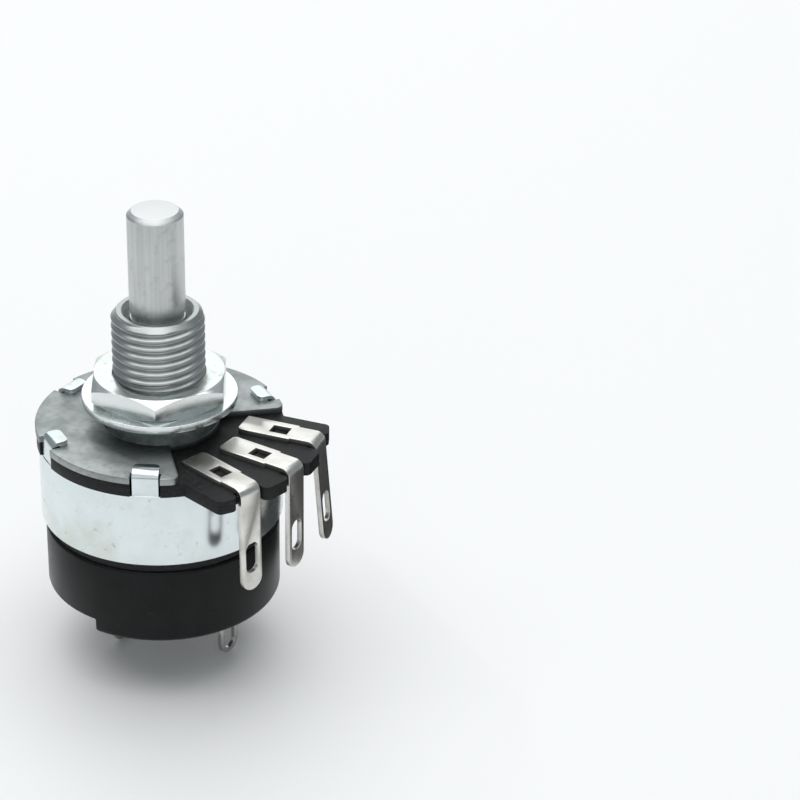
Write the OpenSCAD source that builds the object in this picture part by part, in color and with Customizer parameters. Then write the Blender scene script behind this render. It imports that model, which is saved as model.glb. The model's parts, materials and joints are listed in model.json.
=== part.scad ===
// Rotary potentiometer with a rear on/off switch, for mounting through a panel.
// The axis of the shaft is Z. The origin is the front face of the collar, which seats on
// the panel, so the shaft points up and the solder lugs of the switch point down.
// The middle terminal points along -Y.

/* [Shaft] */
// Diameter of the shaft
shaft_d = 6; // [4:0.5:6.5]
// Length of shaft that stands out of the bushing
shaft_out = 11.5; // [6:0.5:40]
// Chamfer at the tip of the shaft
tip_chamfer = 0.5; // [0.1:0.1:1]
// Gap all round between the bore and the shaft, which is thinner in it by this much
running_gap = 0.03; // [0.02:0.01:0.08]
// Turn from the middle to either stop, in degrees
half_turn = 150; // [100:5:155]

/* [Bushing and collar] */
// Wall of the bushing, from its bore to the outside of its thread
bushing_wall = 2; // [1.8:0.1:3]
// Length of the bushing in front of the collar
bushing_l = 10.6; // [7:0.5:20]
// Chamfer on the front edge of the bushing
bushing_chamfer = 0.6; // [0.1:0.1:1]
// Depth of the groove where the thread runs out above the nut
relief_depth = 0.25; // [0.1:0.05:0.4]
// Depth of the countersink round the shaft
mouth_depth = 0.9; // [0.2:0.1:1.5]
// How far the collar stands out past the thread
collar_rim = 1.25; // [1:0.05:2]
// Height of the collar
collar_h = 2.5; // [1:0.1:4]

/* [Nut and washer] */
// Wall of the nut between its thread and a flat
nut_wall = 2; // [1.5:0.1:3]
// Thickness of the nut
nut_t = 2.5; // [1.5:0.1:4]
// How far the washer stands out past a flat of the nut
washer_rim = 1.4; // [1.2:0.1:1.6]
// Thickness of the washer
washer_t = 0.8; // [0.4:0.1:1.2]

/* [Front plate and terminal board] */
// How far the cast front plate stands out past the can
plate_rim = 0.3; // [0.2:0.05:1.2]
// Thickness of the cast front plate
plate_t = 0.8; // [0.6:0.1:1.5]
// How far the terminal board stands out past the can
board_rim = 0.2; // [0.1:0.05:1]
// Thickness of the terminal board
board_t = 1.5; // [1:0.1:2.5]
// Gap between a tab of the can and the notch that it passes
notch_gap = 0.2; // [0.1:0.05:0.4]
// Half of the angle that the plate leaves open over the terminals
window_half = 44.5; // [43:0.5:50]

/* [Terminals] */
// Angle between two terminals, from where they are clinched to the board
fan = 24.6; // [23:0.2:27]
// Angle between the directions in which two terminals point
splay = 12; // [8:1:20]
// Thickness of the terminal metal
term_t = 0.55; // [0.3:0.05:0.8]
// Width of the part that lies on the board
term_head_w = 3.1; // [2.8:0.1:3.4]
// Width of the leg
term_leg_w = 2.7; // [2.2:0.1:2.8]
// Distance from the side of the can out to the outer face of a leg
term_out = 4.7; // [4.4:0.1:7]
// Length of the leg below the top of the terminal
term_leg = 12.35; // [8:0.05:14]
// Width of the solder eye
eye_w = 1.7; // [1:0.1:1.8]
// Length of the solder eye
eye_l = 3.6; // [2:0.1:4]

/* [Can] */
// Outer diameter of the can
can_d = 26.4; // [25:0.2:30]
// Depth of the can below the terminal board
can_h = 8.7; // [8.5:0.1:14]
// Thickness of the sheet of the can
can_t = 0.5; // [0.3:0.05:0.6]
// Width of a folded tab
tab_w = 2.8; // [2:0.1:4]
// Length of the tab over the plate
tab_l = 2; // [1.5:0.1:3]

/* [Switch] */
// Step from the side of the can in to the side of the switch housing
switch_step = 0.4; // [0.1:0.05:1]
// Depth of the side wall of the switch housing down to its rear face
switch_h = 7.2; // [6.8:0.2:10]
// Height of the rim behind the rear face
rim_h = 1.6; // [1:0.1:2.5]
// Thickness of the cover between the can and the housing
cover_t = 0.9; // [0.6:0.1:1.5]
// Length of a rear solder lug behind the rear face
lug_l = 9; // [6:0.5:12]
// Distance between the middles of the two rear lugs, across
lug_pitch = 4.6; // [4.4:0.1:5]

/* [Hidden] */

$fn = 96;
eps = 0.01;
// Where a cutter runs past what it cuts
over = 1;

// Diameters of the pieces round the shaft
thread_d = shaft_d + 2 * bushing_wall;
collar_d = thread_d + 2 * collar_rim;
nut_flats = thread_d + 2 * nut_wall;
washer_d = nut_flats + 2 * washer_rim;

// Levels along the axis, from the panel face down
plate_top = -collar_h;
board_top = plate_top - plate_t;
board_bottom = board_top - board_t;
can_end = board_bottom - can_h;
cover_end = can_end - cover_t;
switch_face = cover_end - switch_h;
shaft_tip = bushing_l + shaft_out;

// Diameters that follow the can
plate_d = can_d + 2 * plate_rim;
board_d = can_d + 2 * board_rim;
switch_d = can_d - 2 * switch_step;
plate_corner = 0.8;
collar_edge = 0.3;

// Terminals stand round this direction, and each leg leans out a little as it was bent
terminal_dir = -90;
TERMINAL_SIDES = [-1, 0, 1];
LEG_LEANS = [1, 0, 5];

// Tabs of the can: every 60 degrees, apart from where the terminals are
tab_step = 60;
TAB_TURNS = [1:5];
can_inner_r = can_d / 2 - can_t;
tab_sink = 0.03;
tab_out = sqrt(pow(can_d / 2, 2) - pow(tab_w / 2, 2)) - tab_sink;
tab_fold_r = 0.45;
notch_r = tab_out - can_t - tab_fold_r - 0.02;
notch_w = tab_w + 2 * notch_gap;

// Part of the shaft that turns in the bushing, and the relief where it ends in the mouth
bearing_r = shaft_d / 2 - running_gap;
neck_r = bearing_r - 0.15;
neck_end = bushing_l - mouth_depth + 0.2;

// Groove where the thread ends, half hidden by the nut
relief_bottom = washer_t + nut_t - 0.4;
relief_top = washer_t + nut_t + 0.8;

// Turn of the nut about the axis, as it was tightened
nut_turn = 34;

// Retaining ring, in its groove of the shaft against the plate
ring_t = 0.55;
ring_r = 4.4;
ring_gap = 0.05;
ring_top = board_top - ring_gap;
groove_depth = 0.5;
groove_r = shaft_d / 2 - groove_depth;
board_hole_r = ring_r + 0.6;

// Sizes of the shaft behind the groove
groove_wall = 0.3;
seat_top = ring_top - ring_t - groove_wall;
seat_r = groove_r;
journal_r = seat_r - 0.5;
pivot_r = journal_r - 0.5;
flat_depth = 0.5;
key_gap = 0.03;

// Resistance track and collector ring on the rear of the board
track_t = 0.15;
track_rim = 1.2;
track_w = 2.2;
track_out_r = can_inner_r - track_rim;
track_in_r = track_out_r - track_w;
track_end = 5;
collector_t = 0.3;
collector_w = 1.4;
collector_gap = 0.9;
collector_out_r = track_in_r - collector_gap;
collector_in_r = collector_out_r - collector_w;
lead_w = 2;

// Rotor in the can
disc_rim = 0.7;
disc_r = track_in_r - disc_rim;
hub_wall = 1.2;
hub_r = seat_r + hub_wall;
hub_top = board_bottom - 0.4;
hub_bottom = can_end + can_t + 0.3;
disc_top = board_bottom - 2.1;
disc_t = 1.6;
stop_arm_r = can_inner_r - 0.6;
stop_half = 12;
stop_clearance = 0.3;
arm_half = 180 - half_turn - stop_half - stop_clearance;
stop_in_r = disc_r + 0.6;
stop_top = disc_top + 0.8;
stop_bottom = disc_top - disc_t - 1.2;

// Tongue of a terminal, clinched through the board
slot_w = 1.55;
slot_inset = 1.1;
slot_in_r = can_inner_r - slot_inset;
slot_l = 2.6;
slot_middle = 1.5;
fan_r = slot_in_r + slot_middle;
tongue_w = slot_w - 0.2;
tongue_gap = 0.1;
clinch_t = 0.5;
clinch_in_r = track_out_r - 0.6;
head_inner_l = 2.85;
head_outer_l = 3.2;
head_in_r = slot_in_r - head_inner_l;
head_out_r = slot_in_r + head_outer_l;
bend_r = 1;
eye_to_end = 2.1;
term_reach = can_d / 2 + term_out;
term_top = board_top + term_t;

// Lobe of the board that carries the terminals, with a notch for each leg
lobe_past = 0.35;
lobe_beside = 2.35;
lobe_r = term_reach + lobe_past;
lobe_side = term_head_w / 2 + lobe_beside;
lobe_corner = 0.7;
leg_notch_gap = 0.25;
leg_notch_x = term_reach - bend_r - 0.05;
leg_notch_half = term_leg_w / 2 + leg_notch_gap;
window_in_r = collar_d / 2 + 0.15;

// Wiper on the rotor
wiper_t = 0.3;
wiper_gap = 0.03;
wiper_w = 1;
wiper_track_r = (track_in_r + track_out_r) / 2;
wiper_ring_r = (collector_in_r + collector_out_r) / 2;
wiper_base_w = 1.4;
wiper_edge = stop_in_r * sin(arm_half) - 0.2;
wiper_base = [-wiper_edge, wiper_base_w - wiper_edge];
wiper_tip = 0.5;
pip_r = 0.4;
pip_h = 0.55;

// Inside of the switch
wall_t = 1.3;
floor_t = 1.4;
switch_floor = switch_face + floor_t;
cavity_r = switch_d / 2 - wall_t;
cover_hole_r = 4;
pillar_r = 2;
pillar_sink = 0.4;
pillar_drop = 0.05;
pillar_at_r = cavity_r - pillar_r + pillar_sink;
pillar_dir = 40.7;
PILLARS = [for (a = [pillar_dir, 180 - pillar_dir]) pillar_at_r * [cos(a), sin(a)]];
cam_pillar_gap = 2.4;
cam_r = pillar_at_r - pillar_r - cam_pillar_gap;
cam_t = 2;
cam_top = cover_end - 1.7;
cam_hub_r = 3.2;
cam_hub_top = cover_end - 0.4;
cam_hub_bottom = switch_floor + 1;
cam_notch_r = 1.1;
cam_notch_depth = 0.8;
pivot_hole_depth = 1;
pivot_end = switch_floor - pivot_hole_depth + 0.2;
blade_t = 0.3;
nose_r = 0.6;
nose_gap = 0.08;
blade_in_x = cam_r + nose_gap + nose_r;
blade_bottom = switch_floor + 0.8;
blade_top = cam_top + 0.3;
blade_front = 3;
blade_inset = 3.5;
blade_rear = blade_inset - cavity_r;
post_x = blade_in_x + 2.1;
post_t = 0.4;
contact_r = 0.8;
contact_gap = 0.02;
foot_w = 2.4;
foot_t = 0.3;

// Rear lugs: place of each lug in X and Y, and the side to which its foot is bent
lug_t = 0.5;
lug_shift = -0.7;
lug_right_at = [lug_shift + lug_pitch / 2, -7.4, 1];
lug_left_at = [lug_shift - lug_pitch / 2, 4, -1];
lug_foot = 2.6;
lug_neck_w = 1.8;
lug_ring_w = 3.15;
lug_ring_l = 4.4;
lug_slot_w = 1.8;
lug_slot_l = 3.4;
lug_foot_r = 1.5;
rivet_r = 0.7;
rivet_gap = 0.02;
rivet_head_r = 1.25;
rivet_head_h = 0.5;
rivet_inner_r = 1.1;
rivet_inner_h = 0.35;

// Long rivets that hold the cover and the housing to the can
long_rivet_r = 0.8;
long_head_r = 1.5;
long_head_h = 0.5;

// Rim behind the rear face: it stops short over one stretch and has a small window
rim_gap_from = -179;
rim_gap_to = -239;
window_dir = -25;
window_w = 2.4;
window_h = 0.9;
rim_t = 1.2;
rim_root = 0.5;

module wedge(from, to, r) {
    // Flat sector from one angle to another, at most 180 degrees wide
    steps = 4;
    polygon(concat([[0, 0]],
        [for (i = [0:steps]) r / cos((to - from) / steps / 2) *
            [cos(from + (to - from) * i / steps), sin(from + (to - from) * i / steps)]]));
}

module arc_band(from, to, r_in, r_out) {
    // Flat ring stretch from one angle to another
    intersection() {
        difference() {
            circle(r_out);
            circle(r_in);
        }
        wedge(from, to, 2 * r_out);
    }
}

module slab(z_low, z_high) {
    translate([0, 0, z_low]) linear_extrude(z_high - z_low) children();
}

module stadium(w, l) {
    // Slot shape, centred, with its length along Y
    square([w, l - w], center = true);
    for (s = [-1, 1]) translate([0, s * (l - w) / 2]) circle(w / 2, $fn = 48);
}

module at_terminal(side) {
    // X runs out along the terminal, which turns less than its place round the axis
    rotate(terminal_dir + side * fan) translate([fan_r, 0])
        rotate(side * (splay - fan)) translate([-fan_r, 0]) children();
}

function spot(side, x, y) =
    // Place of a point of at_terminal(side)
    let (at = terminal_dir + side * fan, dir = terminal_dir + side * splay)
    fan_r * [cos(at), sin(at)] + (x - fan_r) * [cos(dir), sin(dir)]
        + y * [-sin(dir), cos(dir)];

function x_at_edge(side, y, out, r) =
    // Where the line at y of at_terminal(side) meets the straight edge at r in direction out
    let (dir = terminal_dir + side * splay)
    fan_r + (r - out * spot(side, fan_r, y)) / (out * [cos(dir), sin(dir)]);

module keyed(r, gap = 0) {
    // Round section with one flat, as a shaft or as the hole round it
    intersection() {
        circle(r + gap);
        translate([-2 * r, -2 * r]) square([3 * r - flat_depth + gap, 4 * r]);
    }
}

module shaft() {
    color([0.78, 0.79, 0.8]) {
        rotate_extrude() polygon([
            [0, shaft_tip], [shaft_d / 2 - tip_chamfer, shaft_tip],
            [shaft_d / 2, shaft_tip - tip_chamfer], [shaft_d / 2, bushing_l],
            [neck_r, bushing_l], [neck_r, neck_end], [bearing_r, neck_end], [bearing_r, ring_top],
            [groove_r, ring_top], [groove_r, ring_top - ring_t],
            [bearing_r, ring_top - ring_t], [bearing_r, seat_top], [0, seat_top]]);
        slab(hub_bottom, seat_top) keyed(seat_r);
        slab(cam_hub_bottom, hub_bottom) keyed(journal_r);
        slab(pivot_end, cam_hub_bottom) circle(pivot_r);
    }
}

module retaining_ring() {
    color([0.35, 0.35, 0.37]) slab(ring_top - ring_t, ring_top) difference() {
        circle(ring_r);
        circle(groove_r + running_gap);
        translate([0, -groove_r * 0.8]) square([ring_r + over, 1.6 * groove_r]);
    }
}

module tab_notches() {
    for (i = TAB_TURNS) rotate(terminal_dir + i * tab_step)
        translate([notch_r, -notch_w / 2]) square([plate_d, notch_w]);
}

module plate_outline() {
    // Disc that is open over the terminals, with rounded corners at the opening
    corner_r = plate_d / 2 - plate_corner;
    corner_half = window_half + asin(plate_corner / corner_r);
    corner_x = sqrt(corner_r * corner_r - plate_corner * plate_corner);
    circle(window_in_r);
    difference() {
        circle(plate_d / 2);
        wedge(terminal_dir - corner_half, terminal_dir + corner_half, plate_d);
    }
    for (s = [-1, 1]) rotate(terminal_dir + s * window_half) {
        polygon([[0, 0], [corner_x, 0], [corner_x, s * plate_corner],
                 [corner_x - plate_corner, 2 * s * plate_corner]]);
        translate([corner_x, s * plate_corner]) circle(plate_corner, $fn = 48);
    }
}

module bushing_plate() {
    mouth_r = shaft_d / 2 + mouth_depth;
    relief_r = thread_d / 2 - relief_depth;
    color([0.62, 0.63, 0.64]) {
        rotate_extrude() polygon([
            [shaft_d / 2, bushing_l - mouth_depth], [mouth_r, bushing_l],
            [thread_d / 2 - bushing_chamfer, bushing_l],
            [thread_d / 2, bushing_l - bushing_chamfer], [thread_d / 2, relief_top],
            [relief_r, relief_top], [relief_r, relief_bottom],
            [thread_d / 2, relief_bottom], [thread_d / 2, 0],
            [collar_d / 2 - collar_edge, 0], [collar_d / 2, -collar_edge],
            [collar_d / 2, plate_top - eps], [shaft_d / 2, plate_top - eps]]);
        slab(board_top, plate_top) difference() {
            plate_outline();
            circle(shaft_d / 2);
            tab_notches();
        }
    }
}

module washer() {
    color([0.85, 0.87, 0.86]) slab(0, washer_t) difference() {
        circle(washer_d / 2);
        circle(thread_d / 2 + 0.2);
    }
}

module hex_nut() {
    corner_r = nut_flats / 2 / cos(30);
    edge = corner_r - nut_flats / 2;
    color([0.86, 0.88, 0.86]) translate([0, 0, washer_t]) difference() {
        intersection() {
            linear_extrude(nut_t) rotate(nut_turn) circle(corner_r, $fn = 6);
            rotate_extrude() polygon([
                [0, 0], [corner_r - edge, 0], [corner_r, edge * 0.6],
                [corner_r, nut_t - edge * 0.6], [corner_r - edge, nut_t], [0, nut_t]]);
        }
        translate([0, 0, -over]) linear_extrude(nut_t + 2 * over) circle(thread_d / 2 + 0.05);
    }
}

module board_bump(from, y_from, x_from, to, y_to, x_to) {
    // Part of the lobe between two legs, or beside one, with both of its corners rounded
    // Each side starts at x on the line at y of a terminal
    c = lobe_corner;
    middle = spot(from, leg_notch_x, y_from) + spot(to, leg_notch_x, y_to);
    out = middle / norm(middle);
    x_a = x_at_edge(from, y_from + c, out, lobe_r - c);
    x_b = x_at_edge(to, y_to - c, out, lobe_r - c);
    a = spot(from, x_a, y_from + c);
    b = spot(to, x_b, y_to - c);
    polygon([spot(from, x_from, y_from), spot(from, x_a, y_from), a, a + c * out,
             b + c * out, b, spot(to, x_b, y_to), spot(to, x_to, y_to)]);
    for (p = [a, b]) translate(p) circle(c, $fn = 32);
}

module board_outline() {
    base_x = head_in_r;
    side_x = leg_notch_x;
    in_x = side_x - 1;
    half = leg_notch_half;
    circle(board_d / 2);
    polygon([[0, 0], spot(-1, base_x, -lobe_side), spot(-1, side_x, -lobe_side),
             spot(-1, side_x, half), spot(0, side_x, -half), spot(0, side_x, half),
             spot(1, side_x, -half), spot(1, side_x, lobe_side), spot(1, base_x, lobe_side)]);
    board_bump(-1, -lobe_side, base_x, -1, -half, in_x);
    board_bump(-1, half, in_x, 0, -half, in_x);
    board_bump(0, half, in_x, 1, -half, in_x);
    board_bump(1, half, in_x, 1, lobe_side, base_x);
}

module terminal_board() {
    color([0.12, 0.12, 0.12]) slab(board_bottom, board_top) difference() {
        board_outline();
        circle(board_hole_r);
        tab_notches();
        for (side = TERMINAL_SIDES) at_terminal(side)
            translate([slot_in_r - tongue_gap, -slot_w / 2])
                square([term_t + 2 * tongue_gap, slot_w]);
    }
}

module terminal(side) {
    clinch_top = board_bottom - (side == 0 ? collector_t : track_t);
    lean = LEG_LEANS[side + 1];
    leg_end = bend_r - term_leg;
    color([0.78, 0.76, 0.72]) at_terminal(side) {
        // Part on the board, with the slot that its tongue was cut from
        slab(board_top, term_top) difference() {
            union() {
                translate([head_in_r, -term_head_w / 2])
                    square([head_out_r - head_in_r, term_head_w]);
                translate([head_in_r, -term_leg_w / 2])
                    square([term_reach - bend_r - head_in_r, term_leg_w]);
            }
            translate([slot_in_r + term_t, -slot_w / 2]) square([slot_l - term_t, slot_w]);
        }
        // Tongue through the board, clinched inwards
        translate([slot_in_r, -tongue_w / 2, clinch_top - clinch_t])
            cube([term_t, tongue_w, term_top - clinch_top + clinch_t - eps]);
        translate([clinch_in_r, -tongue_w / 2, clinch_top - clinch_t])
            cube([slot_in_r + term_t - clinch_in_r, tongue_w, clinch_t]);
        // Bend over the edge of the board, down to the leg
        translate([term_reach - bend_r, 0, term_top - bend_r]) {
            translate([0, term_leg_w / 2, 0]) rotate([90, 0, 0]) linear_extrude(term_leg_w)
                intersection() {
                    difference() {
                        circle(bend_r);
                        circle(bend_r - term_t);
                    }
                    wedge(lean, 90, 2 * bend_r);
                }
            // Leg with its rounded end and its eye
            rotate([0, -lean, 0]) translate([bend_r - term_t, 0, 0]) rotate([90, 0, 90])
                linear_extrude(term_t) difference() {
                    union() {
                        translate([-term_leg_w / 2, leg_end + term_leg_w / 2])
                            square([term_leg_w, -leg_end - term_leg_w / 2]);
                        translate([0, leg_end + term_leg_w / 2])
                            circle(term_leg_w / 2, $fn = 48);
                    }
                    translate([0, leg_end + eye_to_end + eye_l / 2]) stadium(eye_w, eye_l);
                }
        }
    }
}

module terminal_left() { terminal(-1); }
module terminal_middle() { terminal(0); }
module terminal_right() { terminal(1); }

module resistance_track() {
    color([0.05, 0.05, 0.05]) slab(board_bottom - track_t, board_bottom) difference() {
        circle(track_out_r);
        circle(track_in_r);
        wedge(terminal_dir - fan + track_end, terminal_dir + fan - track_end, 2 * track_out_r);
        for (side = [-1, 1]) at_terminal(side)
            translate([slot_in_r - 0.3, -tongue_w]) square(2 * tongue_w);
    }
}

module collector_ring() {
    color([0.8, 0.66, 0.35]) slab(board_bottom - collector_t, board_bottom) {
        difference() {
            circle(collector_out_r);
            circle(collector_in_r);
        }
        at_terminal(0) translate([collector_in_r + 0.5, -lead_w / 2])
            square([slot_in_r - tongue_gap - collector_in_r - 0.5, lead_w]);
    }
}

module rotor() {
    color([0.2, 0.17, 0.15]) difference() {
        union() {
            slab(hub_bottom, hub_top) circle(hub_r);
            slab(disc_top - disc_t, disc_top) {
                circle(disc_r);
                rotate(-terminal_dir) arc_band(-arm_half, arm_half, 1, stop_arm_r);
            }
            wiper_pips(pip_r, disc_top - 0.2, disc_top + pip_h);
        }
        slab(hub_bottom - over, hub_top + over) keyed(seat_r, key_gap);
    }
}

module wiper_pips(r, z_low, z_high) {
    // Pips that hold the wiper on the rotor
    for (y = [wiper_ring_r + 0.6, wiper_track_r - 0.4])
        translate([(wiper_base[0] + wiper_base[1]) / 2, y, z_low])
            cylinder(h = z_high - z_low, r = r, $fn = 32);
}

module wiper_finger(r, contact_z) {
    // Strip that rises from the base to the track that it runs on
    rise = contact_z - disc_top;
    tip_top = contact_z;
    translate([0, r + wiper_w / 2, 0]) rotate([90, 0, 0]) linear_extrude(wiper_w) polygon([
        [wiper_base[1] - eps, disc_top], [wiper_base[1] - eps, disc_top + wiper_t],
        [-0.3, tip_top], [0.1, tip_top], [wiper_tip, tip_top - 0.4],
        [wiper_tip - 0.2, tip_top - 0.6], [-0.1, tip_top - wiper_t - 0.1],
        [wiper_base[1] + 0.4, disc_top + rise * 0.15]]);
}

module wiper() {
    base_in = wiper_ring_r - wiper_w / 2;
    base_out = wiper_track_r + wiper_w / 2;
    color([0.82, 0.68, 0.36]) difference() {
        union() {
            slab(disc_top, disc_top + wiper_t)
                translate([wiper_base[0], base_in])
                    square([wiper_base[1] - wiper_base[0], base_out - base_in]);
            wiper_finger(wiper_track_r, board_bottom - track_t - wiper_gap);
            wiper_finger(wiper_ring_r, board_bottom - collector_t - wiper_gap);
        }
        wiper_pips(pip_r + 0.05, disc_top - over, disc_top + pip_h + over);
    }
}

module can() {
    r = can_d / 2;
    edge = 0.35;
    fold_top = plate_top + can_t;
    fold_r = can_t + tab_fold_r;
    color([0.83, 0.87, 0.9]) {
        difference() {
            rotate_extrude() polygon([
                [cover_hole_r - 0.6, can_end], [r - edge, can_end], [r, can_end + edge],
                [r, board_bottom], [can_inner_r, board_bottom],
                [can_inner_r, can_end + can_t], [cover_hole_r - 0.6, can_end + can_t]]);
            long_rivet_holes(can_end - over, can_end + can_t + over);
        }
        // Tabs, up through the notches and folded over the plate
        for (i = TAB_TURNS) rotate(terminal_dir + i * tab_step)
            translate([tab_out, tab_w / 2, 0]) rotate([90, 0, 0]) linear_extrude(tab_w) {
                translate([-can_t, board_bottom - can_t])
                    square([can_t, fold_top - fold_r - board_bottom + can_t]);
                translate([-fold_r, fold_top - fold_r]) intersection() {
                    difference() {
                        circle(fold_r);
                        circle(tab_fold_r);
                    }
                    square(fold_r);
                }
                translate([-tab_l, plate_top]) square([tab_l - fold_r, can_t]);
            }
        // Stop pressed into the can for the arm of the rotor
        slab(stop_bottom, stop_top) rotate(terminal_dir)
            arc_band(-stop_half, stop_half, stop_in_r, can_inner_r + 0.1);
    }
}

module long_rivet_holes(z_low, z_high) {
    for (p = PILLARS) translate([p[0], p[1], z_low])
        cylinder(h = z_high - z_low, r = long_rivet_r + rivet_gap, $fn = 32);
}

module switch_cover() {
    color([0.07, 0.07, 0.07]) difference() {
        slab(cover_end, can_end) difference() {
            circle(switch_d / 2 - 0.3);
            circle(cover_hole_r);
        }
        long_rivet_holes(cover_end - over, can_end + over);
    }
}

module rear_rim(r, edge) {
    // Rim with a stretch left out, and a window through it
    difference() {
        rotate_extrude() polygon([
            [r - rim_t, switch_face + rim_root], [r - rim_t, switch_face - rim_h],
            [r - edge, switch_face - rim_h], [r, switch_face - rim_h + edge],
            [r, switch_face + rim_root]]);
        slab(switch_face - rim_h - over, switch_face + over)
            wedge(rim_gap_to, rim_gap_from, switch_d);
        rotate(window_dir)
            translate([r - rim_t - over, -window_w / 2, switch_face - rim_h + 0.35])
                cube([rim_t + 2 * over, window_w, window_h]);
    }
}

module switch_housing() {
    r = switch_d / 2;
    edge = 0.4;
    color([0.09, 0.09, 0.09]) difference() {
        union() {
            rotate_extrude() polygon([
                [0, switch_face], [r, switch_face], [r, cover_end], [cavity_r, cover_end],
                [cavity_r, switch_floor], [0, switch_floor]]);
            rear_rim(r, edge);
            for (p = PILLARS) translate([p[0], p[1], switch_floor - eps])
                cylinder(h = cover_end - switch_floor - pillar_drop, r = pillar_r, $fn = 48);
        }
        // Hole for the pivot of the shaft and holes for the rivets
        slab(switch_floor - pivot_hole_depth, switch_floor + over)
            circle(pivot_r + running_gap);
        for (p = [rivet_at(lug_left_at), rivet_at(lug_right_at)])
            translate([p[0], p[1], switch_face - over])
                cylinder(h = floor_t + 2 * over, r = rivet_r + rivet_gap, $fn = 32);
        long_rivet_holes(switch_face - over, cover_end + over);
    }
}

module switch_cam() {
    color([0.75, 0.72, 0.62]) difference() {
        union() {
            slab(cam_hub_bottom, cam_hub_top) circle(cam_hub_r);
            slab(cam_top - cam_t, cam_top) difference() {
                circle(cam_r);
                rotate(180 - half_turn)
                    translate([cam_r + cam_notch_r - cam_notch_depth, 0]) circle(cam_notch_r);
            }
        }
        slab(cam_hub_bottom - over, cam_hub_top + over) keyed(journal_r, key_gap);
    }
}

module contact_blade() {
    foot = rivet_at(lug_right_at);
    color([0.82, 0.68, 0.36]) {
        // Foot on the floor, from the rivet out to the blade
        slab(switch_floor, switch_floor + foot_t) difference() {
            union() {
                translate([foot[0], foot[1]]) circle(foot_w / 2, $fn = 48);
                translate([foot[0] - foot_w / 2, blade_rear])
                    square([foot_w, foot[1] - blade_rear]);
                translate([-blade_in_x - blade_t, blade_rear])
                    square([blade_in_x + blade_t + foot[0] + foot_w / 2, foot_w * 0.7]);
            }
            translate([foot[0], foot[1]]) circle(rivet_r + rivet_gap, $fn = 32);
        }
        // Upright strip beside the cam, with the nose that rides on it
        translate([-blade_in_x - blade_t, blade_rear, switch_floor])
            cube([blade_t, foot_w * 0.7, blade_top - switch_floor]);
        translate([-blade_in_x - blade_t, blade_rear, blade_bottom])
            cube([blade_t, blade_front - blade_rear, blade_top - blade_bottom]);
        slab(cam_top - cam_t + 0.3, cam_top - 0.3) intersection() {
            translate([-blade_in_x, 0]) circle(nose_r, $fn = 32);
            translate([-blade_in_x - blade_t / 2, -nose_r]) square(2 * nose_r);
        }
    }
}

module fixed_contact() {
    foot = rivet_at(lug_left_at);
    color([0.82, 0.68, 0.36]) {
        slab(switch_floor, switch_floor + foot_t) difference() {
            union() {
                translate([foot[0], foot[1]]) circle(foot_w / 2, $fn = 48);
                translate([-post_x - post_t, foot[1] - foot_w / 2])
                    square([post_x + post_t + foot[0], foot_w]);
            }
            translate([foot[0], foot[1]]) circle(rivet_r + rivet_gap, $fn = 32);
        }
        translate([-post_x - post_t, foot[1] - foot_w / 2, switch_floor])
            cube([post_t, foot_w, blade_top - switch_floor]);
        translate([-post_x - eps, foot[1], (blade_bottom + blade_top) / 2]) rotate([0, 90, 0])
            cylinder(h = post_x - blade_in_x - blade_t - contact_gap, r = contact_r, $fn = 32);
    }
}

function rivet_at(lug) = [lug[0], lug[1] + lug[2] * lug_foot];

module switch_lug(at) {
    lug_end = switch_face - lug_l;
    ring_mid = lug_end + lug_ring_l / 2;
    color([0.6, 0.6, 0.58]) translate([at[0], at[1], 0]) {
        // Foot flat on the rear face, under its rivet
        slab(switch_face - lug_t, switch_face) rotate(at[2] > 0 ? 0 : 180) difference() {
            union() {
                translate([0, lug_foot]) circle(lug_foot_r, $fn = 48);
                translate([-lug_neck_w / 2, -lug_t / 2]) square([lug_neck_w, lug_foot]);
            }
            translate([0, lug_foot]) circle(rivet_r + rivet_gap, $fn = 32);
        }
        // Neck and the slotted ring at its end
        translate([0, lug_t / 2, 0]) rotate([90, 0, 0]) linear_extrude(lug_t) {
            difference() {
                union() {
                    translate([0, ring_mid]) stadium(lug_ring_w, lug_ring_l);
                    translate([-lug_neck_w / 2, ring_mid])
                        square([lug_neck_w, switch_face - ring_mid]);
                }
                translate([0, ring_mid]) stadium(lug_slot_w, lug_slot_l);
            }
        }
    }
}

module switch_lug_left() { switch_lug(lug_left_at); }
module switch_lug_right() { switch_lug(lug_right_at); }

module lug_rivets() {
    shank_top = switch_floor + foot_t;
    color([0.7, 0.68, 0.62]) for (p = [rivet_at(lug_left_at), rivet_at(lug_right_at)])
        translate([p[0], p[1], 0]) {
            slab(switch_face - lug_t - rivet_head_h, switch_face - lug_t)
                circle(rivet_head_r, $fn = 48);
            slab(switch_face - lug_t - eps, shank_top) circle(rivet_r, $fn = 32);
            slab(shank_top, shank_top + rivet_inner_h) circle(rivet_inner_r, $fn = 48);
        }
}

module housing_rivets() {
    color([0.7, 0.7, 0.7]) for (p = PILLARS) translate([p[0], p[1], 0]) {
        slab(switch_face - long_head_h, switch_face) circle(long_head_r, $fn = 48);
        slab(switch_face - eps, can_end + can_t + eps) circle(long_rivet_r, $fn = 32);
        slab(can_end + can_t, can_end + can_t + long_head_h) circle(long_head_r, $fn = 48);
    }
}

shaft();
retaining_ring();
bushing_plate();
washer();
hex_nut();
terminal_board();
terminal_left();
terminal_middle();
terminal_right();
resistance_track();
collector_ring();
rotor();
wiper();
can();
switch_cover();
switch_housing();
switch_cam();
contact_blade();
fixed_contact();
switch_lug_left();
switch_lug_right();
lug_rivets();
housing_rivets();
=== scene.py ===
"""Looks of a panel-mount rotary potentiometer with a rear switch, built round its frame."""
import json
import math

import bmesh
import bpy
from mathutils import Euler, Matrix, Vector


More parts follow.
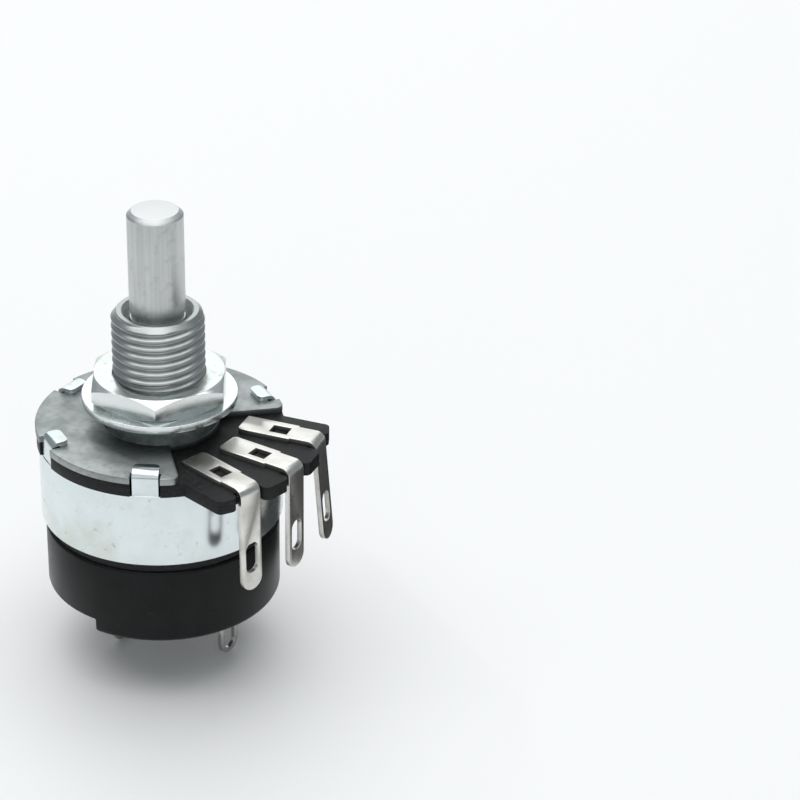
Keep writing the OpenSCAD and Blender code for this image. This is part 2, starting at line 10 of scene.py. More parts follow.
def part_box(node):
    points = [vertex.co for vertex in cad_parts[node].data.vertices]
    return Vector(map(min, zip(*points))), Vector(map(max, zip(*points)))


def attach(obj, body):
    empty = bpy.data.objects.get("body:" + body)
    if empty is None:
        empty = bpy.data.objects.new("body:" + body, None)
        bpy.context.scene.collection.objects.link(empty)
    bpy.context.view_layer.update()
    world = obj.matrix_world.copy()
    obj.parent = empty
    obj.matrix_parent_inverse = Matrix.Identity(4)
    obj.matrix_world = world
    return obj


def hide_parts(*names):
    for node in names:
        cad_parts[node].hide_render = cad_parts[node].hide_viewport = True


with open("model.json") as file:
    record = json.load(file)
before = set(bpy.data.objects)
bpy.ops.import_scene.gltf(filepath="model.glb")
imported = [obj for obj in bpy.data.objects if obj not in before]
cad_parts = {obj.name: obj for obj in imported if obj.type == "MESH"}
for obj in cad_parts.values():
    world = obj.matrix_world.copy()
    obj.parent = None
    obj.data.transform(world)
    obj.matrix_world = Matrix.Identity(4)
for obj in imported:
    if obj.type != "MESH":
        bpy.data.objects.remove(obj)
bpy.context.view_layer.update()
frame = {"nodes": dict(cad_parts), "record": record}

MM = 0.001
TURN = 2 * math.pi

# The photograph's view: where the panel seat stands in the picture and how it is seen
PICTURE = 800
VIEW_AZIMUTH = -52.0
VIEW_ELEVATION = 28.2
VIEW_DISTANCE = 0.307
VIEW_ROLL = -1.6
FOCAL_PIXELS = 2840.0
SEAT_PIXEL = (160.0, 396.9)
SENSOR_MM = 36.0
NEAREST_SEEN = 0.01
FARTHEST_SEEN = 20.0

# Light: a dim room, and each soft box by its place, its size in metres and how bright it looks
ROOM_LIGHT = 0.30
ROOM_COLOUR = (0.86, 0.95, 1.0, 1)
LIGHTS = {
    "overhead": ((0.0, 0.05, 0.90), (1.3, 1.3), 1.72),
    "screen": ((0.62, 0.49, 0.42), (0.9, 0.8), 0.96),
    "front": ((-0.80, -0.45, 0.50), (1.1, 0.8), 0.5),
}
# Floor, just under the rear lugs
FLOOR_SIZE = 8.0
FLOOR_GAP = 0.1 * MM
# Dark card beside the terminals, seen only in what shines: its place, width, height and turn
CARD_PLACE = (20.1 * MM, -24.0 * MM)
CARD_SIZE = (37 * MM, 25 * MM)
CARD_TURN = math.radians(63.0)

# Thread of the bushing, from its crest to the core under it, and how finely it is drawn
THREAD_PITCH = 1.0 * MM
THREAD_DEPTH = 0.5 * MM
THREAD_RADIUS = 5.0 * MM
THREAD_CORE = 4.38 * MM
THREAD_STEPS = 128
THREAD_ROWS = 16
CREST_SHARE = 0.12
ROOT_SHARE = 0.88
BUSHING_CHAMFER = 0.6 * MM
COLLAR_RADIUS = 6.25 * MM
# The plain outside is cut off the bushing, and the thread's sleeve is set over what is left
CUTTER_RADIUS = 7 * MM
CUT_BELOW_NUT = 0.2 * MM
CUT_PAST_END = 0.3 * MM
SLEEVE_BELOW_NUT = 0.3 * MM
SLEEVE_SHORT_OF_END = 0.004 * MM
SLEEVE_SUNK = 0.1 * MM
SLEEVE_MERGE = 0.0005 * MM

# Rivets at the lugs and through the housing: head radius, rear and front head height, shank
LUG_RIVET = 1.25 * MM
LUG_RIVET_HEADS = (0.5 * MM, 0.35 * MM)
LUG_RIVET_SHANK = 0.7 * MM
LONG_RIVET = 1.5 * MM
LONG_RIVET_HEADS = (0.5 * MM, 0.5 * MM)
LONG_RIVET_SHANK = 0.8 * MM
HEAD_SEGMENTS = 40
HEAD_RINGS = 20
SHANK_SIDES = 32

# Rounding of edges, by how each piece is made, and the angles that count as an edge
EDGE_STAMPED = 0.07 * MM
EDGE_CAST = 0.12 * MM
EDGE_MOULDED = 0.28 * MM
EDGE_TURNED = 0.06 * MM
SMOOTH_ANGLE = math.radians(35)
ROUNDED_ANGLE = math.radians(28)
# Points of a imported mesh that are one, and faces that are one flat face
WELD_DISTANCE = 0.002 * MM
FLAT_ANGLE = math.radians(0.8)
# Upright corners of sheet metal: how upright, how tall at most, how sharp, how finely rounded
CORNER_LEAN = 0.01 * MM
CORNER_TALLEST = 0.7 * MM
CORNER_SHARP = math.radians(60)
CORNER_SEGMENTS = 4

# Where looks change along a piece: painted shade round the foot of the collar, cut thread,
# turned end of the shaft
COLLAR_SHADE_REACH = 2.6 * MM
COLLAR_SHADE_FADE = 0.3 * MM
CUT_FADE = 0.1 * MM
CUT_ROUGHNESS = 0.31
TURNED_FROM = 0.7 * MM
TURNED_FULL = 0.2 * MM


class Value:
    """A socket of a node tree that takes Python's operators."""

    def __init__(self, tree, socket):
        self.tree = tree
        self.socket = socket

    def maths(self, operation, *others):
        return self.tree.node("ShaderNodeMath", {"operation": operation}, [self, *others])

    def __add__(self, other):
        return self.maths("ADD", other)

    def __sub__(self, other):
        return self.maths("SUBTRACT", other)

    def __rsub__(self, other):
        return self.tree.node("ShaderNodeMath", {"operation": "SUBTRACT"}, [other, self])

    def __mul__(self, other):
        return self.maths("MULTIPLY", other)

    def __truediv__(self, other):
        return self.maths("DIVIDE", other)

    def __gt__(self, other):
        return self.maths("GREATER_THAN", other)

    def __lt__(self, other):
        return self.maths("LESS_THAN", other)

    __radd__ = __add__
    __rmul__ = __mul__

    def step(self, low, high, to_low=0.0, to_high=1.0):
        """Value moved from one range to another, and held at its ends."""
        return self.tree.node("ShaderNodeMapRange", {"clamp": True},
                              [self, low, high, to_low, to_high])


class Tree:
    """A node tree that is written as calls."""

    def __init__(self, nodes):
        self.nodes = nodes

    def node(self, kind, settings=None, inputs=(), output=0):
        made = self.nodes.nodes.new(kind)
        for key, setting in (settings or {}).items():
            setattr(made, key, setting)
        pairs = inputs.items() if isinstance(inputs, dict) else enumerate(inputs)
        for key, given in pairs:
            self.feed(made.inputs[key], given)
        return Value(self, made.outputs[output])

    def feed(self, socket, given):
        if isinstance(given, Value):
            self.nodes.links.new(given.socket, socket)
        elif given is not None:
            socket.default_value = given


class Look(Tree):
    """A material built from nodes."""

    def __init__(self, name):
        self.material = bpy.data.materials.new(name)
        self.material.use_nodes = True
        super().__init__(self.material.node_tree)
        self.shader = self.nodes.nodes["Principled BSDF"]
        self.place = self.node("ShaderNodeTexCoord", output="Object")

    def noise(self, scale, detail=4.0, roughness=0.55, stretch=(1, 1, 1)):
        place = self.node("ShaderNodeMapping", {}, {"Vector": self.place, "Scale": stretch})
        return self.node("ShaderNodeTexNoise", {"noise_dimensions": "3D"},
                         {"Vector": place, "Scale": scale, "Detail": detail,
                          "Roughness": roughness})

    def from_axis(self):
        """Distance from the axis."""
        flat = self.node("ShaderNodeVectorMath", {"operation": "MULTIPLY"},
                         [self.place, (1, 1, 0)])
        return self.node("ShaderNodeVectorMath", {"operation": "LENGTH"}, [flat],
                         output="Value")

    def rings(self, scale):
        """Fine rings round the axis, as a lathe leaves them on an end face."""
        return (self.from_axis() * scale).maths("SINE").step(-1, 1)

    def height(self):
        """Distance along the axis."""
        return self.node("ShaderNodeSeparateXYZ", {}, [self.place], output="Z")

    def blend(self, mask, first, second):
        """Colour that goes from the first to the second as the mask rises."""
        ends = [given if isinstance(given, Value) else (*given, 1) for given in (first, second)]
        return self.node("ShaderNodeMix", {"data_type": "RGBA"},
                         {0: mask, 6: ends[0], 7: ends[1]}, output=2)

    def bump(self, height, depth, strength=1.0):
        return self.node("ShaderNodeBump", {},
                         {"Strength": strength, "Distance": depth, "Height": height})

    def finish(self, **sockets):
        for name, given in sockets.items():
            name = name.replace("_", " ").title().replace("Ior", "IOR")
            if isinstance(given, tuple) and len(given) == 3:
                given = (*given, 1.0)
            self.feed(self.shader.inputs[name], given)
        return self.material


class Shape(Tree):
    """A geometry tree whose sizes are named inputs, and which ends as a plain mesh."""

    SOCKETS = {float: "NodeSocketFloat", int: "NodeSocketInt", tuple: "NodeSocketVector"}

    def __init__(self, name, sizes):
        super().__init__(bpy.data.node_groups.new(name, "GeometryNodeTree"))
        self.name = name
        self.settings = {}
        for size, value in sizes.items():
            socket = self.nodes.interface.new_socket(size, in_out="INPUT",
                                                     socket_type=self.SOCKETS[type(value)])
            self.settings[socket.identifier] = value
        self.nodes.interface.new_socket("Geometry", in_out="OUTPUT",
                                        socket_type="NodeSocketGeometry")
        self.entry = self.nodes.nodes.new("NodeGroupInput")

    def size(self, name):
        return Value(self, self.entry.outputs[name])

    def joined(self, *parts):
        """Several geometries as one."""
        join_node = self.nodes.nodes.new("GeometryNodeJoinGeometry")
        for part in reversed(parts):
            self.nodes.links.new(part.socket, join_node.inputs[0])
        return Value(self, join_node.outputs[0])

    def made(self, geometry, material):
        """The tree's result as an object that holds nothing but its mesh."""
        whole = self.node("GeometryNodeRealizeInstances", {}, [geometry])
        coated = self.node("GeometryNodeSetMaterial", {},
                           {"Geometry": whole, "Material": material})
        self.feed(self.nodes.nodes.new("NodeGroupOutput").inputs["Geometry"], coated)
        thing = bpy.data.objects.new(self.name, bpy.data.meshes.new(self.name))
        bpy.context.scene.collection.objects.link(thing)
        modifier = thing.modifiers.new(self.name, "NODES")
        modifier.node_group = self.nodes
        for identifier, value in self.settings.items():
            modifier[identifier] = value
        apply_modifiers(thing)
        return thing


def zinc_plated(name, tint, dull=0.0, stain=None):
    """Bright zinc plating: a faint cloud of passivation, a few dull spots and a stain."""
    look = Look(name)
    cloud = look.noise(190.0, 3.0)
    spots = look.noise(1100.0, 3.0).step(0.61, 0.70)
    fine = look.noise(5200.0, 2.0)
    colour = look.blend(cloud.step(0.35, 0.65), tuple(0.90 * c for c in tint), tint)
    if stain:
        patch = look.noise(130.0, 5.0, 0.65).step(0.50, 0.66)
        colour = look.blend(patch * 0.6, colour, stain)
        spots = spots * patch.step(0.0, 0.5, 0.35, 1.0)
    colour = look.blend(spots * 0.65, colour, (0.44, 0.46, 0.43))
    roughness = cloud.step(0.3, 0.7, 0.14 + dull, 0.24 + dull) + spots * 0.12
    return look.finish(base_color=colour, metallic=1.0, roughness=roughness,
                       normal=look.bump(fine, 0.000004, 0.25))


def zinc_casting(name, cut_from, collar):
    """Die-cast zinc: dull grey, blotched where it has aged, with a soft orange-peel skin.

    The thread is cut, so it is brighter, and shade is painted round the foot of the collar."""
    look = Look(name)
    blotch = look.noise(210.0, 4.0, 0.6).step(0.36, 0.62)
    mottle = look.noise(900.0, 4.0, 0.6)
    grain = look.noise(3000.0, 3.0)
    colour = look.blend(blotch, (0.25, 0.275, 0.27), (0.40, 0.42, 0.415))
    colour = look.blend(mottle.step(0.52, 0.72) * 0.5, colour, (0.20, 0.225, 0.22))
    # Painted shade: the casting is darkened in a ring round the foot of the collar, under the
    # washer, where shade falls
    near_collar = look.from_axis().step(collar + COLLAR_SHADE_REACH, collar)
    collar_shade = near_collar * look.height().step(0.0, -COLLAR_SHADE_FADE)
    colour = look.blend(collar_shade * mottle.step(0.3, 0.6, 0.5, 1.0) * 0.75, colour,
                        (0.085, 0.10, 0.095))
    cut = look.height().step(cut_from, cut_from + CUT_FADE)
    colour = look.blend(cut, colour, (0.46, 0.475, 0.47))
    skin = blotch.step(0.0, 1.0, 0.42, 0.32) + mottle * 0.12
    roughness = skin * (1 - cut) + cut * CUT_ROUGHNESS
    return look.finish(base_color=colour, metallic=1.0, roughness=roughness,
                       normal=look.bump(grain * (1 - cut), 0.00001, 0.4))


def drawn_aluminium(name, end):
    """Satin aluminium: fine lines and faint spots along the shaft, turned rings on its end."""
    look = Look(name)
    lines = look.noise(3200.0, 3.0, 0.6, stretch=(1, 1, 0.03))
    cloud = look.noise(260.0, 3.0)
    spots = look.noise(900.0, 4.0, 0.6).step(0.54, 0.68)
    colour = look.blend(lines.step(0.3, 0.7), (0.47, 0.485, 0.485), (0.58, 0.595, 0.595))
    colour = look.blend(cloud.step(0.4, 0.7) * 0.4, colour, (0.66, 0.68, 0.68))
    colour = look.blend(spots * 0.35, colour, (0.36, 0.375, 0.37))
    turned = look.height().step(end - TURNED_FROM, end - TURNED_FULL)
    colour = look.blend(turned, colour, (0.67, 0.68, 0.68))
    roughness = cloud.step(0.3, 0.7, 0.30, 0.40) + turned * 0.14
    relief = lines * (1 - turned) + look.rings(16000.0) * turned
    return look.finish(base_color=colour, metallic=1.0, roughness=roughness,
                       normal=look.bump(relief, 0.000006, 0.5))


def tinned_sheet(name, tint=(0.79, 0.78, 0.74)):
    """Tinned brass sheet: warm light grey, tarnished in places, with the lines of rolling."""
    look = Look(name)
    cloud = look.noise(500.0, 4.0)
    scratches = look.noise(2600.0, 3.0, 0.6, stretch=(1, 1, 0.15))
    tarnish = look.noise(240.0, 4.0, 0.6).step(0.48, 0.66)
    colour = look.blend(cloud.step(0.35, 0.7), tint, tuple(0.84 * c for c in tint))
    colour = look.blend(tarnish * 0.35, colour, (0.46, 0.43, 0.38))
    roughness = cloud.step(0.3, 0.7, 0.25, 0.36) + tarnish * 0.05
    return look.finish(base_color=colour, metallic=1.0, roughness=roughness,
                       normal=look.bump(scratches, 0.000004, 0.35))


def black_phenolic(name):
    """Black phenolic moulding: a half-gloss skin with faint flow marks and dust."""
    look = Look(name)
    flow = look.noise(320.0, 4.0)
    pores = look.noise(4200.0, 2.0)
    dust = look.noise(1500.0, 2.0).step(0.66, 0.78)
    colour = look.blend(flow.step(0.3, 0.7), (0.0045, 0.0048, 0.0050), (0.0090, 0.0095, 0.0100))
    colour = look.blend(dust * 0.15, colour, (0.07, 0.07, 0.068))
    roughness = flow.step(0.3, 0.7, 0.27, 0.37) + dust * 0.1
    return look.finish(base_color=colour, metallic=0.0, roughness=roughness,
                       specular_ior_level=0.17, normal=look.bump(pores, 0.000006, 0.3))


def laminate(name):
    """Black paper laminate: fibre marks, finer along the axis, and a few light specks."""
    look = Look(name)
    fibre = look.noise(1400.0, 5.0, 0.65, stretch=(1, 1, 3))
    specks = look.noise(2600.0, 2.0).step(0.6, 0.72)
    colour = look.blend(fibre.step(0.35, 0.7), (0.009, 0.0100, 0.0103), (0.022, 0.0240, 0.0245))
    colour = look.blend(specks * 0.25, colour, (0.08, 0.078, 0.072))
    roughness = fibre.step(0.3, 0.7, 0.36, 0.55)
    return look.finish(base_color=colour, metallic=0.0, roughness=roughness,
                       specular_ior_level=0.16, normal=look.bump(fibre, 0.00002, 0.5))


def plain_inner(name, tint, metallic, rough):
    """Finish of a piece inside the can or the switch."""
    look = Look(name)
    cloud = look.noise(700.0, 3.0)
    colour = look.blend(cloud.step(0.3, 0.7), tint, tuple(0.8 * c for c in tint))
    return look.finish(base_color=colour, metallic=metallic,
                       roughness=cloud.step(0.3, 0.7, rough, rough + 0.1),
                       normal=look.bump(look.noise(3000.0, 2.0), 0.000006, 0.3))


FINISHES = {
    "shaft": drawn_aluminium("shaft aluminium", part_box("shaft")[1][2]),
    "retaining_ring": plain_inner("spring steel", (0.30, 0.30, 0.32), 1.0, 0.3),
    "bushing_plate": zinc_casting("zinc casting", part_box("hex_nut")[1][2], COLLAR_RADIUS),
    "washer": zinc_plated("washer plating", (0.87, 0.91, 0.90), 0.08),
    "hex_nut": zinc_plated("nut plating", (0.85, 0.89, 0.88), 0.05, (0.64, 0.70, 0.62)),
    "terminal_board": laminate("board laminate"),
    "terminal_left": tinned_sheet("tinned terminals"),
    "resistance_track": plain_inner("carbon track", (0.03, 0.03, 0.03), 0.0, 0.6),
    "collector_ring": plain_inner("spring brass", (0.78, 0.60, 0.30), 1.0, 0.25),
    "rotor": plain_inner("rotor moulding", (0.10, 0.07, 0.05), 0.0, 0.4),
    "can": zinc_plated("can plating", (0.78, 0.85, 0.86), 0.02, (0.60, 0.64, 0.55)),
    "switch_cover": laminate("cover laminate"),
    "switch_housing": black_phenolic("black moulding"),
    "switch_cam": plain_inner("cam moulding", (0.62, 0.57, 0.45), 0.0, 0.4),
    "switch_lug_left": tinned_sheet("tinned lugs", (0.58, 0.58, 0.55)),
    "lug_rivets": tinned_sheet("tinned rivets", (0.62, 0.60, 0.54)),
    "housing_rivets": plain_inner("plated rivets", (0.66, 0.67, 0.68), 1.0, 0.28),
}
SAME_FINISH = {
    "terminal_middle": "terminal_left", "terminal_right": "terminal_left",
    "switch_lug_right": "switch_lug_left", "wiper": "collector_ring",
    "contact_blade": "collector_ring", "fixed_contact": "collector_ring",
}


def finish_of(node):
    return FINISHES[SAME_FINISH.get(node, node)]


def body_of_node(node):
    bodies = frame["record"]["behaviour"]["bodies"]
    return next(body for body, nodes in bodies.items() if node in nodes)


def paint(node):
    """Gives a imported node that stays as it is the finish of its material."""
    thing = frame["nodes"][node]
    thing.data.materials.clear()
    thing.data.materials.append(finish_of(node))


def welded_copy(node, name):
    """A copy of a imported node's mesh, with its loose triangles joined into whole faces."""
    mesh = frame["nodes"][node].data.copy()
    mesh.name = name
    mesh.materials.clear()
    mesh.materials.append(finish_of(node))
    joined = bmesh.new()
    joined.from_mesh(mesh)
    bmesh.ops.remove_doubles(joined, verts=joined.verts, dist=WELD_DISTANCE)
    bmesh.ops.dissolve_limit(joined, angle_limit=FLAT_ANGLE, verts=joined.verts,
                             edges=joined.edges)
    joined.to_mesh(mesh)
    joined.free()
    thing = bpy.data.objects.new(name, mesh)
    bpy.context.scene.collection.objects.link(thing)
    return thing


def apply_modifiers(thing):
    """Turns a piece and its modifiers into a plain mesh."""
    bpy.context.view_layer.update()
    evaluated = thing.evaluated_get(bpy.context.evaluated_depsgraph_get())
    mesh = bpy.data.meshes.new_from_object(evaluated)
    old = thing.data
    thing.modifiers.clear()
    thing.data = mesh
    bpy.data.meshes.remove(old)


def round_edges(thing, width, segments=3, held=True):
    """Rounds a piece's edges; held keeps the rounding narrower than its smallest faces."""
    bevel = thing.modifiers.new("edges", "BEVEL")
    bevel.width = width
    bevel.segments = segments
    bevel.limit_method = "ANGLE"
    bevel.angle_limit = ROUNDED_ANGLE
    bevel.use_clamp_overlap = held
    bevel.harden_normals = False
    apply_modifiers(thing)


def shade(thing):
    """Smooth shading, with creases where faces meet at more than the smoothing angle."""
    mesh = thing.data
    for face in mesh.polygons:
        face.use_smooth = True
    mesh.set_sharp_from_angle(angle=SMOOTH_ANGLE)


def stand_in(thing, node):
    """Sets a dressed piece on its node's body, and hides the node."""
    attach(thing, body_of_node(node))
    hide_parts(node)


def clip_corners(thing, width, reach):
    """Rounds the upright corners of sheet metal that lie within a reach of the axis."""
    sheet_metal = bmesh.new()
    sheet_metal.from_mesh(thing.data)
    corners = []
    for edge in sheet_metal.edges:
        first, second = (vert.co for vert in edge.verts)
        upright = (first.xy - second.xy).length < CORNER_LEAN
        short = (first - second).length < CORNER_TALLEST
        if upright and short and first.xy.length < reach and edge.is_manifold:
            if edge.is_convex and edge.calc_face_angle() > CORNER_SHARP:
                corners.append(edge)
    bmesh.ops.bevel(sheet_metal, geom=corners, offset=width, offset_type="OFFSET",
                    segments=CORNER_SEGMENTS, profile=0.5, affect="EDGES", clamp_overlap=True)
    sheet_metal.to_mesh(thing.data)
    sheet_metal.free()


def dress(node, width):
    """A node's piece again, with the small round edges of the real one."""
    thing = welded_copy(node, node + "_dressed")
    if node in CLIPPED:
        clip_corners(thing, *CLIPPED[node])
    round_edges(thing, width, held=node not in UNHELD)
    shade(thing)
    stand_in(thing, node)


def thread_sleeve(low, high):
    """Threaded outside of the bushing: a sheet of rows and steps, rolled up and closed.

    The first row lies inside at the foot. The next rows climb the wall to its top, and the last
    two go back inside, at the top and down to the foot, where they meet the first."""
    shape = Shape("bushing_thread", {
        "Steps": THREAD_STEPS, "Rows": round((high - low) / (THREAD_PITCH / THREAD_ROWS)),
        "Crest": THREAD_RADIUS, "Depth": THREAD_DEPTH, "Pitch": THREAD_PITCH,
        "Low": low, "High": high, "Core": THREAD_CORE - SLEEVE_SUNK,
        "Chamfer": BUSHING_CHAMFER})
    rows, crest, top = shape.size("Rows"), shape.size("Crest"), shape.size("High")
    sheet_of_rows = shape.node("GeometryNodeMeshGrid", {}, {
        "Size X": 1.0, "Size Y": 1.0,
        "Vertices X": shape.size("Steps") + 1, "Vertices Y": rows + 4})
    spot = shape.node("GeometryNodeInputPosition")
    across = shape.node("ShaderNodeSeparateXYZ", {}, [spot], output="X") + 0.5
    row = (shape.node("ShaderNodeSeparateXYZ", {}, [spot], output="Y") + 0.5) * (rows + 3)
    share = ((row - 1) / rows).maths("MINIMUM", 1.0).maths("MAXIMUM", 0.0)
    share = share * (row < rows + 2.5)
    height = shape.size("Low") + (top - shape.size("Low")) * share
    ridge = ((height / shape.size("Pitch") - across).maths("FRACT") * 2 - 1).maths("ABSOLUTE")
    thread = crest - shape.size("Depth") * ridge.step(CREST_SHARE, ROOT_SHARE)
    wall = thread.maths("MINIMUM", crest - shape.size("Chamfer") + (top - height))
    inside = (row < 0.5) + (row > rows + 1.5)
    radius = wall + (shape.size("Core") - wall) * inside
    angle = across * TURN
    rolled = shape.node("ShaderNodeCombineXYZ", {}, [
        radius * angle.maths("COSINE"), radius * angle.maths("SINE"), height])
    moved = shape.node("GeometryNodeSetPosition", {},
                       {"Geometry": sheet_of_rows, "Position": rolled})
    closed = shape.node("GeometryNodeMergeByDistance", {},
                        {"Geometry": moved, "Distance": SLEEVE_MERGE})
    thing = shape.made(closed, finish_of("bushing_plate"))
    face_outwards(thing)
    return thing


def core_cutter(low, high):
    """Closed tube that takes the plain outside off the bushing, down to its core."""
    profile = [(THREAD_CORE, low), (CUTTER_RADIUS, low),
               (CUTTER_RADIUS, high), (THREAD_CORE, high)]
    tube = bmesh.new()
    rings = [[tube.verts.new((radius * math.cos(TURN * step / THREAD_STEPS),
                              radius * math.sin(TURN * step / THREAD_STEPS), z))
              for step in range(THREAD_STEPS)] for radius, z in profile]
    for lower, upper in zip(rings, rings[1:] + rings[:1]):
        for step in range(THREAD_STEPS):
            after = (step + 1) % THREAD_STEPS
            tube.faces.new((lower[step], lower[after], upper[after], upper[step]))
    mesh = bpy.data.meshes.new("core cutter")
    tube.to_mesh(mesh)
    tube.free()
    thing = bpy.data.objects.new("core cutter", mesh)
    bpy.context.scene.collection.objects.link(thing)
    face_outwards(thing)
    return thing


def join(thing, other):
    """Moves another object's mesh into a piece."""
    whole = bmesh.new()
    whole.from_mesh(thing.data)
    whole.from_mesh(other.data)
    whole.to_mesh(thing.data)
    whole.free()
    bpy.data.objects.remove(other)


def cut_away(thing, tool):
    """Cuts a tool's shape out of a piece, and removes the tool."""
    work = thing.modifiers.new("cut", "BOOLEAN")
    work.operation = "DIFFERENCE"
    work.solver = "EXACT"
    work.object = tool
    apply_modifiers(thing)
    bpy.data.objects.remove(tool)


def face_outwards(thing):
    """Turns a closed piece's faces so that they all point outwards."""
    turned = bmesh.new()
    turned.from_mesh(thing.data)
    bmesh.ops.recalc_face_normals(turned, faces=turned.faces)
    turned.to_mesh(thing.data)
    turned.free()


def threaded_bushing():
    """The zinc casting, with a thread on its bushing from the nut's top to its end."""
    thing = welded_copy("bushing_plate", "bushing_plate_threaded")
    round_edges(thing, EDGE_CAST, 2)
    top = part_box("bushing_plate")[1][2]
    nut_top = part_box("hex_nut")[1][2]
    cut_away(thing, core_cutter(nut_top - CUT_BELOW_NUT, top + CUT_PAST_END))
    join(thing, thread_sleeve(nut_top - SLEEVE_BELOW_NUT, top - SLEEVE_SHORT_OF_END))
    shade(thing)
    stand_in(thing, "bushing_plate")


def rivets(node, head_radius, heights, shank_radius, spots):
    """The two rivets of a node: one round-headed rivet, set at both places."""
    low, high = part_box(node)
    shape = Shape(node + "_set", {
        "First": (*spots[0], 0.0), "Second": (*spots[1], 0.0), "Head radius": head_radius,
        "Rear head": heights[0], "Front head": heights[1], "Shank radius": shank_radius,
        "Rear": low[2], "Front": high[2]})
    dome = shape.node("GeometryNodeMeshUVSphere", {},
                      {"Segments": HEAD_SEGMENTS, "Rings": HEAD_RINGS,
                       "Radius": shape.size("Head radius")})

    def head(end, height, side):
        place = shape.node("ShaderNodeCombineXYZ", {}, {"Z": end + height * side})
        squat = shape.node("ShaderNodeCombineXYZ", {},
                           {"X": 1.0, "Y": 1.0, "Z": height / shape.size("Head radius")})
        return shape.node("GeometryNodeTransform", {},
                          {"Geometry": dome, "Translation": place, "Scale": squat})

    rear, front = shape.size("Rear"), shape.size("Front")
    rod = shape.node("GeometryNodeMeshCylinder", {}, {
        "Vertices": SHANK_SIDES, "Radius": shape.size("Shank radius"),
        "Depth": front - rear - shape.size("Rear head")})
    middle = shape.node("ShaderNodeCombineXYZ", {}, {"Z": (rear + front) * 0.5})
    rod = shape.node("GeometryNodeTransform", {}, {"Geometry": rod, "Translation": middle})
    rivet = shape.joined(rod, head(rear, shape.size("Rear head"), 1.0),
                         head(front, shape.size("Front head"), -1.0))
    places = shape.joined(*(
        shape.node("GeometryNodePoints", {}, {"Count": 1, "Position": shape.size(spot)})
        for spot in ("First", "Second")))
    both = shape.node("GeometryNodeInstanceOnPoints", {}, {"Points": places, "Instance": rivet})
    thing = shape.made(both, finish_of(node))
    shade(thing)
    stand_in(thing, node)


def rivet_corners(node, radius):
    """Lowest and highest X and Y at which a rivet's middle fits in its node's box."""
    low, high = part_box(node)
    return [near + radius for near in low[:2]], [far - radius for far in high[:2]]


def lug_rivets():
    low, high = rivet_corners("lug_rivets", LUG_RIVET)
    rivets("lug_rivets", LUG_RIVET, LUG_RIVET_HEADS, LUG_RIVET_SHANK,
           [(low[0], high[1]), (high[0], low[1])])


def housing_rivets():
    low, high = rivet_corners("housing_rivets", LONG_RIVET)
    rivets("housing_rivets", LONG_RIVET, LONG_RIVET_HEADS, LONG_RIVET_SHANK,
           [(high[0], high[1]), (low[0], low[1])])


def camera_towards_seat():
    """Camera that sees the panel seat from the photograph's side, at the photograph's place."""
    azimuth = math.radians(VIEW_AZIMUTH)
    elevation = math.radians(VIEW_ELEVATION)
    towards = Vector((math.sin(azimuth) * math.cos(elevation),
                      -math.cos(azimuth) * math.cos(elevation), math.sin(elevation)))
    right = Vector((0, 0, 1)).cross(towards).normalized()
    upwards = towards.cross(right)
    look = Matrix((right, upwards, towards)).transposed()
    half = PICTURE / 2
    seen = Vector(((SEAT_PIXEL[0] - half) / FOCAL_PIXELS,
                   (half - SEAT_PIXEL[1]) / FOCAL_PIXELS, -1.0))
    aside = seen.rotation_difference(Vector((0, 0, -1))).to_matrix()
    roll = Matrix.Rotation(math.radians(VIEW_ROLL), 3, towards)
    data = bpy.data.cameras.new("camera")
    data.sensor_width = SENSOR_MM
    data.lens = SENSOR_MM * FOCAL_PIXELS / PICTURE
    data.clip_start = NEAREST_SEEN
    data.clip_end = FARTHEST_SEEN
    camera = bpy.data.objects.new("camera", data)
    camera.matrix_world = (Matrix.Translation(towards * VIEW_DISTANCE)
                           @ (roll @ look @ aside).to_4x4())
    bpy.context.scene.collection.objects.link(camera)
    bpy.context.scene.camera = camera


def floor_finish():
    """Pale matt floor, with a cloud too faint to see as a pattern."""
    look = Look("pale floor")
    cloud = look.noise(3.0, 2.0)
    colour = look.blend(cloud, (0.875, 0.87, 0.87), (0.90, 0.895, 0.895))
    return look.finish(base_color=colour, roughness=0.4, specular_ior_level=0.08)


def sheet(name, size, place, turn, material):
    """Flat sheet beside the object, with its place in its mesh."""
    bpy.ops.mesh.primitive_plane_add(size=1.0)
    thing = bpy.context.object
    thing.name = name
    thing.data.transform(Matrix.LocRotScale(Vector(place), Euler(turn), Vector((*size, 1.0))))
    thing.data.materials.append(material)
    return thing


def dark_card(floor_z):
    """Card that stands on the floor and gives the bright metal something dark to mirror."""
    look = Look("dark card")
    look.finish(base_color=(0.09, 0.09, 0.09), roughness=0.8, specular_ior_level=0.0)
    place = (*CARD_PLACE, floor_z + CARD_SIZE[1] / 2)
    card = sheet("dark_card", CARD_SIZE, place, (math.pi / 2, 0, CARD_TURN), look.material)
    card.visible_camera = card.visible_diffuse = card.visible_shadow = False


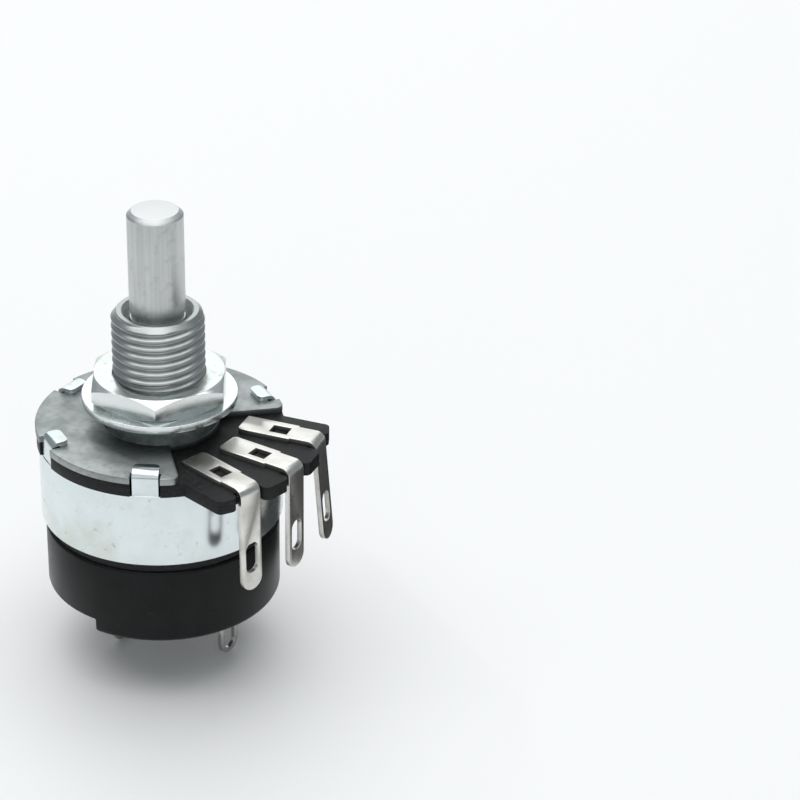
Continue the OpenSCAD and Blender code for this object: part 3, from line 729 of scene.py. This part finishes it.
def studio():
    """Plain pale floor in a dim room, a soft box overhead and a lit screen behind."""
    floor_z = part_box("switch_lug_right")[0][2] - FLOOR_GAP
    sheet("floor", (FLOOR_SIZE, FLOOR_SIZE), (0, 0, floor_z), (0, 0, 0), floor_finish())
    dark_card(floor_z)
    world = bpy.data.worlds.new("studio")
    world.use_nodes = True
    background = world.node_tree.nodes["Background"]
    background.inputs["Color"].default_value = ROOM_COLOUR
    background.inputs["Strength"].default_value = ROOM_LIGHT
    bpy.context.scene.world = world
    bpy.context.scene.view_settings.view_transform = "Standard"
    for name, (place, size, brightness) in LIGHTS.items():
        add_light(name, place, size, brightness)


def add_light(name, place, size, brightness):
    """Soft light that faces the object, given by how bright its surface looks."""
    data = bpy.data.lights.new(name, "AREA")
    data.shape = "RECTANGLE"
    data.size, data.size_y = size
    data.energy = brightness * size[0] * size[1] * math.pi
    light = bpy.data.objects.new(name, data)
    light.location = place
    light.rotation_euler = (-Vector(place)).to_track_quat("-Z", "Y").to_euler()
    bpy.context.scene.collection.objects.link(light)


# Pieces made again with rounded edges, and how wide the rounding is
DRESSED = {
    "shaft": EDGE_TURNED, "washer": EDGE_STAMPED, "hex_nut": EDGE_TURNED,
    "terminal_board": EDGE_STAMPED, "terminal_left": EDGE_STAMPED,
    "terminal_middle": EDGE_STAMPED, "terminal_right": EDGE_STAMPED, "can": EDGE_CAST,
    "switch_housing": EDGE_MOULDED, "switch_cover": EDGE_STAMPED,
    "switch_lug_left": EDGE_STAMPED, "switch_lug_right": EDGE_STAMPED,
}
# Small steps inside this piece would hold its rounding back everywhere
UNHELD = {"switch_housing"}
# Corners of sheet metal that are rounded: by how much, and within what reach of the axis
INNER_ENDS = (0.5 * MM, 9.5 * MM)
CLIPPED = {"can": (0.6 * MM, 12.3 * MM), "terminal_left": INNER_ENDS,
           "terminal_middle": INNER_ENDS, "terminal_right": INNER_ENDS}

camera_towards_seat()
studio()
for node in frame["nodes"]:
    paint(node)
for node, width in DRESSED.items():
    dress(node, width)
threaded_bushing()
lug_rivets()
housing_rivets()
